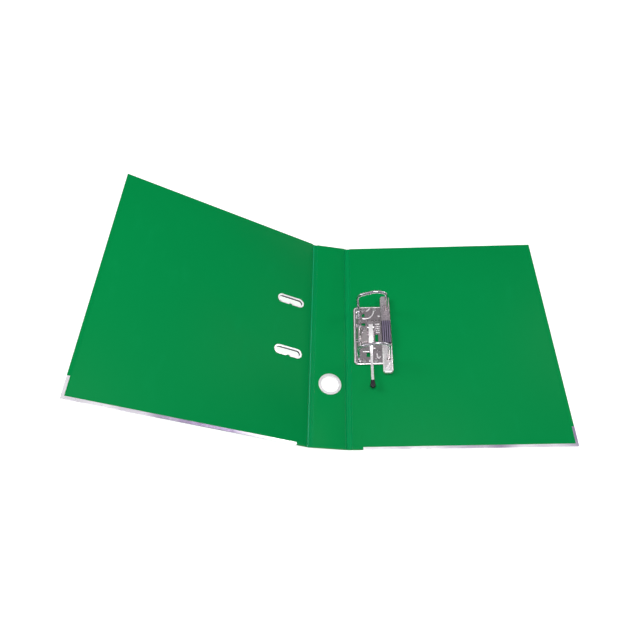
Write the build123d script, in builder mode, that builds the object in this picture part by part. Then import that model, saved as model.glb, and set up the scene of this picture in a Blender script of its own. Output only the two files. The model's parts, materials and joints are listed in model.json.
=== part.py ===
from build123d import *

import os
from math import cos, radians, sin

# A lever arch file lying open with its inside up. Millimetres, +Z up.
# Y runs along the spine, +Y towards the top of the file. The back cover lies flat and
# reaches towards +X. The spine and the front cover rise towards -X.
# The origin is on the back cover's underside, in line with its board's hinge edge.

# ---------------------------------------------------------------- covers and spine
HEIGHT = 318.0          # along the spine
COVER_DEPTH = 274.0     # board, from its hinge edge to the free edge
SPINE_PITCH = 50.0      # from one fold line to the other
HINGE_GAP = 9.0         # between neighbouring boards
BOARD_T = 2.0           # greyboard
SKIN_T = 0.15           # foil on each face
FOLD_SLIT = 0.8         # width of the thin web in the fold line
WEB_CLEAR = 0.05        # web from the foils on each side of it
SPINE_TILT = 14.0       # degrees, spine above the back cover's plane
FRONT_TILT = 19.0       # degrees, front cover above the spine's plane

# ---------------------------------------------------------------- trim on the covers
STRIP_FLANGE = 3.2      # edge protector, width on each face
STRIP_RETURN = 25.0     # how far it goes up the free edge
STRIP_START = 13.0      # from the board's hinge edge
RING_FROM_FOOT = 86.0   # finger ring centre above the file's lower edge
RING_R = 15.0
RING_BORE_R = 11.5
RING_FLANGE_T = 0.9
RING_SLEEVE_T = 1.0
RING_ROUND = 0.5
SLOT_X = 31.0           # slot centre from the front board's hinge edge
SLOT_L = 34.0           # clear opening
SLOT_W = 8.4
SLOT_NOTCH = 1.9        # depth of the notch in one long side
SLOT_NOTCH_R = 6.0
EYELET_RIM = 2.8
EYELET_T = 0.5
LABEL_W = 34.0
LABEL_L = 175.0
LABEL_CARD_T = 0.3
LABEL_FILM_T = 0.2
LABEL_EDGE = 2.0
LABEL_Y = 52.0          # label centre above the middle of the spine

# ---------------------------------------------------------------- lever arch mechanism
MECH_Y = 3.0            # middle of the mechanism
HOLE_PITCH = 80.0       # punched holes, and so arches and posts
PLATE_X0 = 3.6          # base plate, from the back board's hinge edge
PLATE_X1 = 56.0
PLATE_L = 92.8
PLATE_R = 6.0
PLATE_T = 1.2
PLATE_H = 2.2           # the pressed plate stands on its turned-down rim
PLATE_ROUND = 0.8
WELL_CLEAR = 0.5        # round a rivet's head
BEADS = (               # x0, x1 and y from the middle of the mechanism
    (22.5, 41.0, 24.0),
    (31.5, 41.0, -24.5),
)
BEAD_W = 3.4
BEAD_H = 0.6
BEAD_TAPER = 30
WINDOWS = (             # x0, x1, y0, y1, with y from the middle of the mechanism
    (15.6, 19.6, 29.0, 34.5),
    (14.9, 20.3, 14.7, 18.6),
    (13.8, 24.6, -10.4, -6.3),
    (33.0, 37.4, -13.4, 0.0),
    (7.2, 14.8, -10.0, 10.0),
    (20.6, 25.6, -35.0, -28.5),
)
WINDOW_R = 0.8
WIRE_R = 2.0
SHAFT_X = 11.0
SHAFT_GAP = 0.2         # shaft above the plate
SADDLE_W = 9.0
SADDLE_Y = 19.0
SADDLE_T = 1.0
JOURNAL_GAP = 0.08
POST_X = 50.0
POST_R = 2.1
POST_TOP = 34.0
POST_SHANK_R = 1.6
SEAT_GAP = 0.2          # arch tip above the post's seat
SEAT_DEPTH = 0.9
SEAT_R = 1.8
NOSE_R = 0.7
NOSE_L = 0.8
ARCH_LEAN = 1.2         # the standing leg leans towards the spine
ARCH_SHOULDER = 41.2    # height of the bend over the standing leg
ARCH_CREST_X = 37.0
ARCH_CREST = 51.3
ARCH_FRONT = 44.5       # height of the corner over the post
ARCH_RADII = (9.0, 19.0, 12.0, 5.0)  # over the post, crest, shoulder, foot
ROCKER_T = 1.2
ROCKER_L = 18.0         # along the shaft
ROCKER_X1 = 22.5
NOSE_X1 = 27.0
NOSE_Y0 = -12.0
NOSE_Y1 = -5.0
SPRING_X = 17.8
SPRING_W = 4.6
SPRING_T = 0.5
SPRING_ROOT_Y = -26.0
SPRING_TIP_Y = 6.0
SPRING_ROOT_L = 8.0
SPRING_RISE_L = 7.0
SPRING_CLEAR = 0.3
LEVER_X = 27.5
LEVER_PIVOT_Y = 7.0     # from the middle of the mechanism
LEVER_PIVOT_Z = 11.0
LEVER_W = 6.0
LEVER_WALL = 1.0
HEEL = 5.0              # lever behind its pivot
CHANNEL_TOP = 4.0       # above the pivot
CHANNEL_L = 20.0
CHANNEL_CLEAR = 1.0     # above the arches' rocker
HANDLE_W = 3.4
HANDLE_T = 2.6
HANDLE_GAP = 0.4        # above the base plate
HANDLE_S = 33.0         # the low handle runs from here
DIP_S = 66.0            # to here, and then rises to the tip
RISE_S = 77.0
RISE_T = 0.8
EAR_GAP = 0.3
EAR_T = 1.0
EAR_W = 8.0
PIVOT_PIN_R = 1.5
PIN_GAP = 0.05
PIN_HEAD_R = 2.3
PIN_HEAD_T = 0.7
ROLLER_S = 14.0         # roller from the lever's pivot
ROLLER_DROP = 0.4
ROLLER_R = 3.0
ROLLER_GAP = 0.3        # between the lever's cheeks
ROLLER_AXLE_R = 1.0
TIP_S = 87.0            # centre of the tip's round end from the pivot
TIP_R = 3.5
TIP_H = 5.6
TIP_ROUND = 1.6
TIP_SOCKET = 2.0        # the handle ends this far short of the round end's centre
TIP_NECK_L = 7.5
TIP_NECK_W = 4.6
BAR_X = 48.6
BAR_W = 13.4
BAR_L = 122.0
BAR_H = 4.3
BAR_T = 1.2
BAR_GAP = 0.3
BAR_R = 4.0
BAR_ROUND = 1.4
BAR_WELL_R = 5.2
BAR_WELL = 1.2
POST_PLAY = 0.4
GRIP_W = 12.6
GRIP_L = 37.0
GRIP_R = 1.5
GRIP_T = 1.8
GRIP_RIBS = 4
GRIP_RIB_PITCH = 2.9
GRIP_RIB_W = 1.5
GRIP_RIB_H = 1.3
GRIP_FOOT = 12.0        # from the grip's middle
GRIP_FOOT_R = 1.8
GRIP_FOOT_T = 1.2
RIVET_R = 1.5
RIVET_HEAD_R = 2.9
RIVET_HEAD_T = 0.9
RIVET_ROUND = 0.6
RIVET_SPOTS = ((17.0, 40.5), (33.0, 40.5), (17.0, -41.0), (33.0, -40.5))

# ---------------------------------------------------------------- worked out from them
PANEL_T = BOARD_T + 2 * SKIN_T
FOLD_Z = SKIN_T                       # fold line, in the middle of the welded foils
HALF_GAP = HINGE_GAP / 2
HALF_SLIT = FOLD_SLIT / 2
OUTER = -FOLD_Z                       # outer face, in a panel's own plane
INNER = PANEL_T - FOLD_Z              # inner face, in a panel's own plane
TOP_Y = HEIGHT / 2
FOOT_Y = -HEIGHT / 2
PLATE_Z = PANEL_T                     # the mechanism stands on the back cover
PLATE_TOP = PLATE_Z + PLATE_H
PLATE_MID_X = (PLATE_X0 + PLATE_X1) / 2
SHAFT_Z = PLATE_TOP + SHAFT_GAP + WIRE_R
PIVOT_Y = MECH_Y + LEVER_PIVOT_Y
ROLLER_W = LEVER_W - 2 * (LEVER_WALL + ROLLER_GAP)
BAR_Z = PLATE_TOP + BAR_GAP
BAR_TOP = BAR_Z + BAR_H


def panel_plane(x, z, degrees):
    """The plane of a panel that has turned up by so many degrees about a fold line."""
    a = radians(degrees)
    return Plane(origin=(x, 0, z), x_dir=(cos(a), 0, -sin(a)), z_dir=(sin(a), 0, cos(a)))


back_plane = panel_plane(-HALF_GAP, FOLD_Z, 0)
spine_plane = panel_plane(-HALF_GAP, FOLD_Z, SPINE_TILT)
front_x = -HALF_GAP - SPINE_PITCH * cos(radians(SPINE_TILT))
front_z = FOLD_Z + SPINE_PITCH * sin(radians(SPINE_TILT))
front_plane = panel_plane(front_x, front_z, SPINE_TILT + FRONT_TILT)


def area(x0, x1, y0, y1):
    """A rectangle between two x and two y values, in the current sketch."""
    with Locations(((x0 + x1) / 2, (y0 + y1) / 2)):
        Rectangle(abs(x1 - x0), abs(y1 - y0))


def save(made, name):
    made.part.label = name
    export_step(made.part, f"parts/{name}.step")


os.makedirs("parts", exist_ok=True)


# ---------------------------------------------------------------- holes through panels
slot_spots = [
    (-HALF_GAP - SLOT_X, MECH_Y + HOLE_PITCH / 2),
    (-HALF_GAP - SLOT_X, MECH_Y - HOLE_PITCH / 2),
]
ring_spot = (-SPINE_PITCH / 2, FOOT_Y + RING_FROM_FOOT)
plate_rivets = [(x, y + MECH_Y) for x, y in RIVET_SPOTS]
cover_rivets = [(x + HALF_GAP, y) for x, y in plate_rivets]


def slot_outline(grow, mode=Mode.ADD):
    """The slot's outline, grown by so much all round: round ends and a notch below."""
    with BuildSketch(mode=Mode.PRIVATE) as outline:
        SlotOverall(SLOT_L + 2 * grow, SLOT_W + 2 * grow)
        with Locations((0, SLOT_NOTCH - SLOT_W / 2 - SLOT_NOTCH_R)):
            Circle(SLOT_NOTCH_R - grow, mode=Mode.SUBTRACT)
    add(outline.sketch, mode=mode)


def cut_holes(plane, spots, radius, z=OUTER, depth=PANEL_T):
    """Round holes through the current part, from height z of the plane upwards."""
    with BuildSketch(plane.offset(z)) as holes:
        with Locations(*spots):
            Circle(radius)
    extrude(holes.sketch, amount=depth, mode=Mode.SUBTRACT)


def cut_slots(plane):
    """Both arch slots, as wide as their eyelets' walls."""
    with BuildSketch(plane.offset(OUTER)) as slots:
        with Locations(*slot_spots):
            slot_outline(EYELET_T)
    extrude(slots.sketch, amount=PANEL_T, mode=Mode.SUBTRACT)


# ---------------------------------------------------------------- covers
def strip_area(side):
    """Where the edge protector lies on a cover: along the foot and round its corner."""
    free = side * (HALF_GAP + COVER_DEPTH)
    area(side * (HALF_GAP + STRIP_START), free, FOOT_Y, FOOT_Y + STRIP_FLANGE)
    area(free - side * STRIP_FLANGE, free, FOOT_Y, FOOT_Y + STRIP_RETURN)


def cover(prefix, plane, side):
    """A cover's board, foils and edge protector. side is +1 for the back, -1 for the front."""
    hinge, free = side * HALF_GAP, side * (HALF_GAP + COVER_DEPTH)
    board_area = (hinge, free - side * SKIN_T, FOOT_Y + SKIN_T, TOP_Y - SKIN_T)

    with BuildPart() as board:
        with BuildSketch(plane):
            area(*board_area)
        extrude(amount=BOARD_T)
        if side < 0:
            cut_slots(plane)
        else:
            cut_holes(plane, cover_rivets, RIVET_R)
    save(board, f"{prefix}_board")

    with BuildPart() as skin:
        with BuildSketch(plane.offset(OUTER)):
            area(hinge, free, FOOT_Y, TOP_Y)
        extrude(amount=SKIN_T + BOARD_T)
        with BuildSketch(plane.offset(OUTER)):
            area(side * HALF_SLIT, hinge, FOOT_Y, TOP_Y)
        extrude(amount=2 * SKIN_T)
        with BuildSketch(plane):
            area(*board_area)
        extrude(amount=BOARD_T, mode=Mode.SUBTRACT)
        with BuildSketch(plane.offset(OUTER)):
            strip_area(side)
        extrude(amount=PANEL_T, mode=Mode.SUBTRACT)
        if side < 0:
            cut_slots(plane)
        else:
            cut_holes(plane, cover_rivets, RIVET_HEAD_R)
    save(skin, f"{prefix}_outer_skin")

    with BuildPart() as liner:
        with BuildSketch(plane.offset(BOARD_T)):
            area(hinge, free, FOOT_Y, TOP_Y)
            with BuildSketch(mode=Mode.PRIVATE) as trimmed:
                strip_area(side)
            add(trimmed.sketch, mode=Mode.SUBTRACT)
        extrude(amount=SKIN_T)
        if side < 0:
            cut_slots(plane)
        else:
            cut_holes(plane, cover_rivets, RIVET_R)
    save(liner, f"{prefix}_inner_liner")

    with BuildPart() as strip:
        with BuildSketch(plane.offset(OUTER)):
            strip_area(side)
        extrude(amount=PANEL_T)
        with BuildSketch(plane):
            area(*board_area)
        extrude(amount=BOARD_T, mode=Mode.SUBTRACT)
    save(strip, f"{prefix}_edge_protector")


cover("back", back_plane, 1)
cover("front", front_plane, -1)

# ---------------------------------------------------------------- spine
spine_edges = (HALF_GAP - SPINE_PITCH, -HALF_GAP)
spine_folds = (HALF_SLIT - SPINE_PITCH, -HALF_SLIT)
RING_HOLE_R = RING_BORE_R + RING_SLEEVE_T

with BuildPart() as spine_board:
    with BuildSketch(spine_plane):
        area(*spine_edges, FOOT_Y + SKIN_T, TOP_Y - SKIN_T)
    extrude(amount=BOARD_T)
    cut_holes(spine_plane, [ring_spot], RING_HOLE_R)
save(spine_board, "spine_board")

with BuildPart() as spine_skin:
    with BuildSketch(spine_plane.offset(OUTER)):
        area(*spine_folds, FOOT_Y, TOP_Y)
    extrude(amount=2 * SKIN_T)
    with BuildSketch(spine_plane.offset(OUTER)):
        area(*spine_edges, FOOT_Y, TOP_Y)
    extrude(amount=SKIN_T + BOARD_T)
    with BuildSketch(spine_plane):
        area(*spine_edges, FOOT_Y + SKIN_T, TOP_Y - SKIN_T)
    extrude(amount=BOARD_T, mode=Mode.SUBTRACT)
    cut_holes(spine_plane, [ring_spot], RING_HOLE_R)
save(spine_skin, "spine_outer_skin")

with BuildPart() as spine_liner:
    with BuildSketch(spine_plane.offset(BOARD_T)):
        area(*spine_edges, FOOT_Y, TOP_Y)
    extrude(amount=SKIN_T)
    cut_holes(spine_plane, [ring_spot], RING_HOLE_R)
save(spine_liner, "spine_inner_liner")

# The thin webs in the fold lines, each bent half way between its two panels.
for name, x, z, turned in (
    ("back_hinge_web", -HALF_GAP, FOLD_Z, SPINE_TILT / 2),
    ("front_hinge_web", front_x, front_z, SPINE_TILT + FRONT_TILT / 2),
):
    with BuildPart() as web:
        with BuildSketch(panel_plane(x, z, turned).offset(-SKIN_T / 2)):
            area(WEB_CLEAR - HALF_SLIT, HALF_SLIT - WEB_CLEAR, FOOT_Y, TOP_Y)
        extrude(amount=SKIN_T)
    save(web, name)

# ---------------------------------------------------------------- finger ring
with BuildPart() as ring_outer:
    with BuildSketch(spine_plane.offset(OUTER - RING_FLANGE_T)):
        with Locations(ring_spot):
            Circle(RING_R)
    extrude(amount=RING_FLANGE_T)
    fillet(ring_outer.faces().filter_by(GeomType.PLANE).sort_by(Axis.Z)[0].edges(), RING_ROUND)
    with BuildSketch(spine_plane.offset(OUTER)):
        with Locations(ring_spot):
            Circle(RING_HOLE_R)
    extrude(amount=PANEL_T)
    cut_holes(spine_plane, [ring_spot], RING_BORE_R, OUTER - RING_FLANGE_T,
              RING_FLANGE_T + PANEL_T)
save(ring_outer, "finger_ring_outer")

with BuildPart() as ring_inner:
    with BuildSketch(spine_plane.offset(INNER)):
        with Locations(ring_spot):
            Circle(RING_R)
    extrude(amount=RING_FLANGE_T)
    fillet(ring_inner.faces().filter_by(GeomType.PLANE).sort_by(Axis.Z)[-1].edges(), RING_ROUND)
    cut_holes(spine_plane, [ring_spot], RING_BORE_R, INNER, RING_FLANGE_T)
save(ring_inner, "finger_ring_inner")

# ---------------------------------------------------------------- cover slots' eyelets
for name, spot in zip(("slot_eyelet_upper", "slot_eyelet_lower"), slot_spots):
    with BuildPart() as eyelet:
        for start, thick, grow in (
            (OUTER - EYELET_T, EYELET_T, EYELET_RIM),
            (OUTER, PANEL_T, EYELET_T),
            (INNER, EYELET_T, EYELET_RIM),
        ):
            with BuildSketch(front_plane.offset(start)):
                with Locations(spot):
                    slot_outline(grow)
                    slot_outline(0, mode=Mode.SUBTRACT)
            extrude(amount=thick)
    save(eyelet, name)

# ---------------------------------------------------------------- spine label
label_x = (-(SPINE_PITCH + LABEL_W) / 2, -(SPINE_PITCH - LABEL_W) / 2)
label_y = (LABEL_Y - LABEL_L / 2, LABEL_Y + LABEL_L / 2)
with BuildPart() as label_card:
    with BuildSketch(spine_plane.offset(OUTER - LABEL_CARD_T)):
        area(*label_x, *label_y)
    extrude(amount=LABEL_CARD_T)
save(label_card, "label_card")

with BuildPart() as label_pocket:
    with BuildSketch(spine_plane.offset(OUTER - LABEL_CARD_T - LABEL_FILM_T)):
        area(label_x[0] - LABEL_EDGE, label_x[1] + LABEL_EDGE,
             label_y[0] - LABEL_EDGE, label_y[1])
    extrude(amount=LABEL_CARD_T + LABEL_FILM_T)
    with BuildSketch(spine_plane.offset(OUTER - LABEL_CARD_T)):
        area(*label_x, *label_y)
    extrude(amount=LABEL_CARD_T, mode=Mode.SUBTRACT)
save(label_pocket, "label_pocket")

# ---------------------------------------------------------------- base plate
post_spots = [(POST_X, MECH_Y + HOLE_PITCH / 2), (POST_X, MECH_Y - HOLE_PITCH / 2)]
EAR_INNER = LEVER_W / 2 + EAR_GAP     # from the lever's middle plane
SADDLE_R = WIRE_R + JOURNAL_GAP + SADDLE_T

with BuildPart() as base_plate:
    with BuildSketch(Plane.XY.offset(PLATE_Z)):
        with Locations((PLATE_MID_X, MECH_Y)):
            RectangleRounded(PLATE_X1 - PLATE_X0, PLATE_L, PLATE_R)
    extrude(amount=PLATE_H)
    fillet(base_plate.faces().sort_by(Axis.Z)[-1].edges(), PLATE_ROUND)
    # the hollow under the pressed plate
    with BuildSketch(Plane.XY.offset(PLATE_Z)):
        with Locations((PLATE_MID_X, MECH_Y)):
            RectangleRounded(PLATE_X1 - PLATE_X0 - 2 * PLATE_T, PLATE_L - 2 * PLATE_T,
                             PLATE_R - PLATE_T)
    extrude(amount=PLATE_H - PLATE_T, mode=Mode.SUBTRACT)
    # seats that reach down to the cover, under the rivets and the posts
    with BuildSketch(Plane.XY.offset(PLATE_Z)):
        with Locations(*plate_rivets, *post_spots):
            Circle(RIVET_HEAD_R + WELL_CLEAR + PLATE_T)
    extrude(amount=PLATE_T)
    cut_holes(Plane.XY, plate_rivets, RIVET_HEAD_R + WELL_CLEAR, PLATE_Z + PLATE_T, PLATE_H)
    # raised beads that stiffen the plate
    with BuildSketch(Plane.XY.offset(PLATE_TOP)):
        for x0, x1, y in BEADS:
            with Locations(((x0 + x1) / 2, MECH_Y + y)):
                SlotOverall(x1 - x0, BEAD_W)
    extrude(amount=BEAD_H, taper=BEAD_TAPER)
    # openings left where the ears, saddles and spring are cut from the sheet
    with BuildSketch(Plane.XY.offset(PLATE_Z)):
        for x0, x1, y0, y1 in WINDOWS:
            with Locations(((x0 + x1) / 2, MECH_Y + (y0 + y1) / 2)):
                RectangleRounded(x1 - x0, y1 - y0, WINDOW_R)
    extrude(amount=PLATE_H, mode=Mode.SUBTRACT)
    # ears that carry the lever's pivot pin
    for x0 in (LEVER_X - EAR_INNER - EAR_T, LEVER_X + EAR_INNER):
        with BuildSketch(Plane.YZ.offset(x0)):
            with Locations((PIVOT_Y, LEVER_PIVOT_Z)):
                Circle(EAR_W / 2)
            area(PIVOT_Y - EAR_W / 2, PIVOT_Y + EAR_W / 2, PLATE_TOP - PLATE_T / 2, LEVER_PIVOT_Z)
        extrude(amount=EAR_T)
    cut_holes(Plane.YZ, [(PIVOT_Y, LEVER_PIVOT_Z)], PIVOT_PIN_R, PLATE_X0, PLATE_X1)
    # saddles that hold the arches' shaft
    for y in (MECH_Y + SADDLE_Y, MECH_Y - SADDLE_Y):
        with BuildSketch(Plane.XZ.offset(-y - SADDLE_W / 2)):
            with Locations((SHAFT_X, SHAFT_Z)):
                Circle(SADDLE_R)
            area(SHAFT_X - SADDLE_R, SHAFT_X + SADDLE_R, PLATE_TOP - PLATE_T / 2, SHAFT_Z)
        extrude(amount=SADDLE_W)
    cut_holes(Plane.XZ, [(SHAFT_X, SHAFT_Z)], WIRE_R + JOURNAL_GAP, -HEIGHT / 2, HEIGHT)
    cut_holes(Plane.XY, plate_rivets, RIVET_R, PLATE_Z, PLATE_H)
    cut_holes(Plane.XY, post_spots, POST_SHANK_R, PLATE_Z, PLATE_H)
save(base_plate, "base_plate")

with BuildPart() as base_rivets:
    for start, tall, radius in (
        (0, SKIN_T, RIVET_HEAD_R),
        (SKIN_T, PLATE_Z + PLATE_T - SKIN_T, RIVET_R),
        (PLATE_Z + PLATE_T, RIVET_HEAD_T, RIVET_HEAD_R),
    ):
        with BuildSketch(Plane.XY.offset(start)):
            with Locations(*plate_rivets):
                Circle(radius)
        extrude(amount=tall)
    fillet(base_rivets.faces().group_by(Axis.Z)[-1].edges(), RIVET_ROUND)
save(base_rivets, "base_rivets")

# ---------------------------------------------------------------- posts
for name, (x, y) in zip(("post_upper", "post_lower"), post_spots):
    with BuildPart() as post:
        for start, top, radius in (
            (PLATE_Z, PLATE_TOP, POST_SHANK_R),
            (PLATE_TOP, POST_TOP, POST_R),
        ):
            with BuildSketch(Plane.XY.offset(start)):
                with Locations((x, y)):
                    Circle(radius)
            extrude(amount=top - start)
        with Locations((x, y, POST_TOP - SEAT_DEPTH / 2)):
            Cone(NOSE_R, SEAT_R, SEAT_DEPTH, mode=Mode.SUBTRACT)
    save(post, name)

# ---------------------------------------------------------------- arches
TIP_Z = POST_TOP + SEAT_GAP
upper_y, lower_y = MECH_Y + HOLE_PITCH / 2, MECH_Y - HOLE_PITCH / 2


def arch_corners(y):
    """An arch from its tip over the post to its foot on the shaft."""
    return [
        (POST_X, y, TIP_Z),
        (POST_X, y, ARCH_FRONT),
        (ARCH_CREST_X, y, ARCH_CREST),
        (SHAFT_X - ARCH_LEAN, y, ARCH_SHOULDER),
        (SHAFT_X, y, SHAFT_Z),
    ]


with BuildPart() as arch_wire:
    with BuildLine():
        FilletPolyline(*arch_corners(upper_y), *reversed(arch_corners(lower_y)),
                       radius=[*ARCH_RADII, *reversed(ARCH_RADII)])
    with BuildSketch(Plane((POST_X, upper_y, TIP_Z))):
        Circle(WIRE_R)
    sweep()
    # tapered noses that drop into the posts' seats
    with Locations(*[(POST_X, y, TIP_Z - NOSE_L / 2) for y in (upper_y, lower_y)]):
        Cone(NOSE_R, SEAT_R, NOSE_L)
save(arch_wire, "arch_wire")

with BuildPart() as rocker:
    with BuildSketch(Plane.XZ.offset(-MECH_Y - ROCKER_L / 2)):
        with Locations((SHAFT_X, SHAFT_Z)):
            Circle(WIRE_R + ROCKER_T)
        area(SHAFT_X, ROCKER_X1, SHAFT_Z - ROCKER_T / 2, SHAFT_Z + ROCKER_T / 2)
    extrude(amount=ROCKER_L)
    with BuildSketch(Plane.XY.offset(SHAFT_Z - ROCKER_T / 2)):
        area(SHAFT_X + WIRE_R, NOSE_X1, MECH_Y + NOSE_Y0, MECH_Y + NOSE_Y1)
    extrude(amount=ROCKER_T)
    cut_holes(Plane.XZ, [(SHAFT_X, SHAFT_Z)], WIRE_R, -HEIGHT / 2, HEIGHT)
save(rocker, "arch_rocker")

# ---------------------------------------------------------------- leaf spring
spring_top = SHAFT_Z - ROCKER_T / 2 - SPRING_CLEAR
spring_root = MECH_Y + SPRING_ROOT_Y
upper_side = [
    (spring_root, PLATE_TOP + SPRING_T),
    (spring_root + SPRING_ROOT_L, PLATE_TOP + SPRING_T),
    (spring_root + SPRING_ROOT_L + SPRING_RISE_L, spring_top),
    (MECH_Y + SPRING_TIP_Y, spring_top),
]
with BuildPart() as leaf_spring:
    with BuildSketch(Plane.YZ.offset(SPRING_X - SPRING_W / 2)):
        with BuildLine():
            Polyline(*upper_side, *[(y, z - SPRING_T) for y, z in reversed(upper_side)],
                     close=True)
        make_face()
    extrude(amount=SPRING_W)
    with BuildSketch(Plane.XY.offset(PLATE_TOP + SPRING_T)):
        with Locations((SPRING_X, spring_root + SPRING_ROOT_L / 2)):
            Circle(RIVET_R)
    extrude(amount=RIVET_HEAD_T)
save(leaf_spring, "leaf_spring")

# ---------------------------------------------------------------- lever
def at_lever(s, t):
    """A point on the lever: s from its pivot towards the tip, t above the pivot."""
    return (PIVOT_Y - s, LEVER_PIVOT_Z + t)


handle_top = PLATE_TOP + HANDLE_GAP + HANDLE_T - LEVER_PIVOT_Z
handle_low = handle_top - HANDLE_T
channel_low = SHAFT_Z + ROCKER_T / 2 + CHANNEL_CLEAR - LEVER_PIVOT_Z
side_outline = [
    at_lever(-HEEL, channel_low),
    at_lever(-HEEL, CHANNEL_TOP - 2),
    at_lever(2 - HEEL, CHANNEL_TOP),
    at_lever(CHANNEL_L, CHANNEL_TOP),
    at_lever(HANDLE_S, handle_top),
    at_lever(DIP_S, handle_top),
    at_lever(RISE_S, RISE_T),
    at_lever(TIP_S - TIP_SOCKET, RISE_T),
    at_lever(TIP_S - TIP_SOCKET, RISE_T - HANDLE_T),
    at_lever(RISE_S + 1, RISE_T - HANDLE_T),
    at_lever(DIP_S + 1, handle_low),
    at_lever(HANDLE_S - 1, handle_low),
    at_lever(CHANNEL_L + 2, channel_low),
]
plan_outline = [
    (HEEL, LEVER_W / 2),
    (-CHANNEL_L, LEVER_W / 2),
    (-HANDLE_S, HANDLE_W / 2),
    (TIP_SOCKET - TIP_S, HANDLE_W / 2),
]
roller_place = at_lever(ROLLER_S, -ROLLER_DROP)

with BuildPart() as lever:
    with BuildSketch(Plane.YZ.offset(LEVER_X - LEVER_W / 2)):
        with BuildLine():
            Polyline(*side_outline, close=True)
        make_face()
    extrude(amount=LEVER_W)
    # narrower towards the handle
    with BuildSketch(Plane.XY):
        with BuildLine():
            Polyline(*[(LEVER_X + w, PIVOT_Y + s) for s, w in plan_outline],
                     *[(LEVER_X - w, PIVOT_Y + s) for s, w in reversed(plan_outline)],
                     close=True)
        make_face()
    extrude(amount=LEVER_PIVOT_Z + HEIGHT, mode=Mode.INTERSECT)
    # the channel that holds the roller
    with BuildSketch(Plane.YZ.offset(LEVER_X - LEVER_W / 2 + LEVER_WALL)):
        area(PIVOT_Y - CHANNEL_L, PIVOT_Y + HEEL,
             LEVER_PIVOT_Z + channel_low, LEVER_PIVOT_Z + CHANNEL_TOP - LEVER_WALL)
    extrude(amount=LEVER_W - 2 * LEVER_WALL, mode=Mode.SUBTRACT)
    cut_holes(Plane.YZ, [(PIVOT_Y, LEVER_PIVOT_Z)], PIVOT_PIN_R + PIN_GAP, PLATE_X0, PLATE_X1)
    cut_holes(Plane.YZ, [roller_place], ROLLER_AXLE_R, PLATE_X0, PLATE_X1)
save(lever, "lever")

with BuildPart() as lever_pin:
    pin_half = EAR_INNER + EAR_T
    for start, wide, radius in (
        (LEVER_X - pin_half - PIN_HEAD_T, PIN_HEAD_T, PIN_HEAD_R),
        (LEVER_X - pin_half, 2 * pin_half, PIVOT_PIN_R),
        (LEVER_X + pin_half, PIN_HEAD_T, PIN_HEAD_R),
    ):
        with BuildSketch(Plane.YZ.offset(start)):
            with Locations((PIVOT_Y, LEVER_PIVOT_Z)):
                Circle(radius)
        extrude(amount=wide)
save(lever_pin, "lever_pivot_pin")

with BuildPart() as roller:
    with BuildSketch(Plane.YZ.offset(LEVER_X - ROLLER_W / 2)):
        with Locations(roller_place):
            Circle(ROLLER_R)
            Circle(ROLLER_AXLE_R + PIN_GAP, mode=Mode.SUBTRACT)
    extrude(amount=ROLLER_W)
save(roller, "roller")

with BuildPart() as roller_axle:
    with BuildSketch(Plane.YZ.offset(LEVER_X - LEVER_W / 2)):
        with Locations(roller_place):
            Circle(ROLLER_AXLE_R)
    extrude(amount=LEVER_W)
save(roller_axle, "roller_axle")

tip_y = PIVOT_Y - TIP_S
with BuildPart() as lever_tip:
    with BuildSketch(Plane.XY.offset(LEVER_PIVOT_Z + RISE_T - (HANDLE_T + TIP_H) / 2)):
        with Locations((LEVER_X, tip_y)):
            Circle(TIP_R)
        with BuildLine():
            Polyline(
                (LEVER_X - TIP_R, tip_y),
                (LEVER_X - TIP_NECK_W / 2, tip_y + TIP_NECK_L),
                (LEVER_X + TIP_NECK_W / 2, tip_y + TIP_NECK_L),
                (LEVER_X + TIP_R, tip_y),
                close=True,
            )
        make_face()
    extrude(amount=TIP_H)
    fillet(lever_tip.faces().filter_by(Axis.Z).edges(), TIP_ROUND)
    with BuildSketch(Plane.YZ.offset(LEVER_X - HANDLE_W / 2)):
        with BuildLine():
            Polyline(*side_outline, close=True)
        make_face()
    extrude(amount=HANDLE_W, mode=Mode.SUBTRACT)
save(lever_tip, "lever_tip")

# ---------------------------------------------------------------- compressor bar
with BuildPart() as bar:
    with BuildSketch(Plane.XY.offset(BAR_Z)):
        with Locations((BAR_X, MECH_Y)):
            RectangleRounded(BAR_W, BAR_L, BAR_R)
    extrude(amount=BAR_H)
    fillet(bar.faces().sort_by(Axis.Z)[-1].edges(), BAR_ROUND)
    # the hollow underneath
    with BuildSketch(Plane.XY.offset(BAR_Z)):
        with Locations((BAR_X, MECH_Y)):
            RectangleRounded(BAR_W - 2 * BAR_T, BAR_L - 2 * BAR_T, BAR_R - BAR_T)
    extrude(amount=BAR_H - BAR_T, mode=Mode.SUBTRACT)
    # wells round the posts
    with BuildSketch(Plane.XY.offset(BAR_TOP - BAR_WELL - BAR_T)):
        with Locations(*[(BAR_X, y) for _, y in post_spots]):
            Circle(BAR_W / 2 - BAR_T / 2)
    extrude(amount=BAR_WELL)
    cut_holes(Plane.XY, [(BAR_X, y) for _, y in post_spots], BAR_WELL_R, BAR_TOP - BAR_WELL,
              BAR_WELL)
    cut_holes(Plane.XY, post_spots, POST_R + POST_PLAY, BAR_Z, BAR_H)
    # holes for the grip's feet
    cut_holes(Plane.XY, [(BAR_X, MECH_Y - GRIP_FOOT), (BAR_X, MECH_Y + GRIP_FOOT)],
              GRIP_FOOT_R, BAR_Z, BAR_H)
save(bar, "compressor_bar")

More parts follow.
